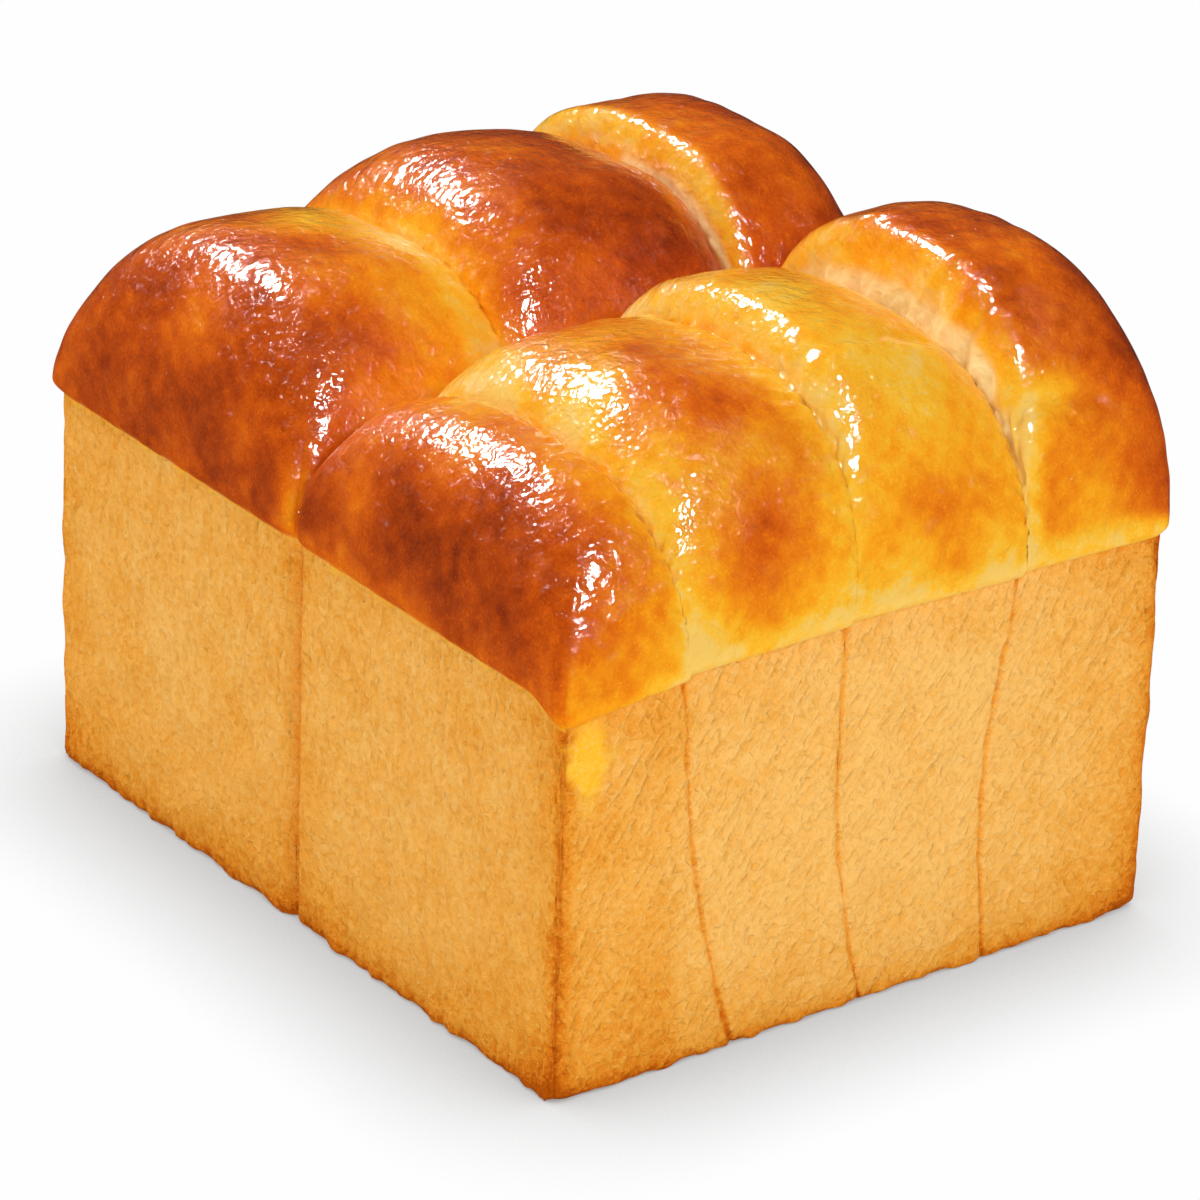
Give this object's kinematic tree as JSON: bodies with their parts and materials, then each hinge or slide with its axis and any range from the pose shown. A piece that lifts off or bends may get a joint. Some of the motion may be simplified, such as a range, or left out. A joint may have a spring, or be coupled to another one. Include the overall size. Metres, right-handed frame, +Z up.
{
  "type": "tin loaf",
  "caption": "Domed milk loaf baked in a square tin: two joined rows of glazed domes above flat pale walls, on a flat underside.",
  "frame": {"origin": "middle of the underside, where the two rows meet, on the surface that the loaf stands on", "axes": "X along the rows, from the lowest dome to the tallest one; Y across the rows, from the row of four domes to the row of three; Z up"},
  "size_m": [0.2035, 0.2445, 0.1905],
  "materials": {
    "baked_crust": "golden baked crust, glossy with egg wash on the domes and dry and pale on the walls"
  },
  "bodies": {
    "root": {"loaf": "baked_crust"}
  },
  "joints": []
}
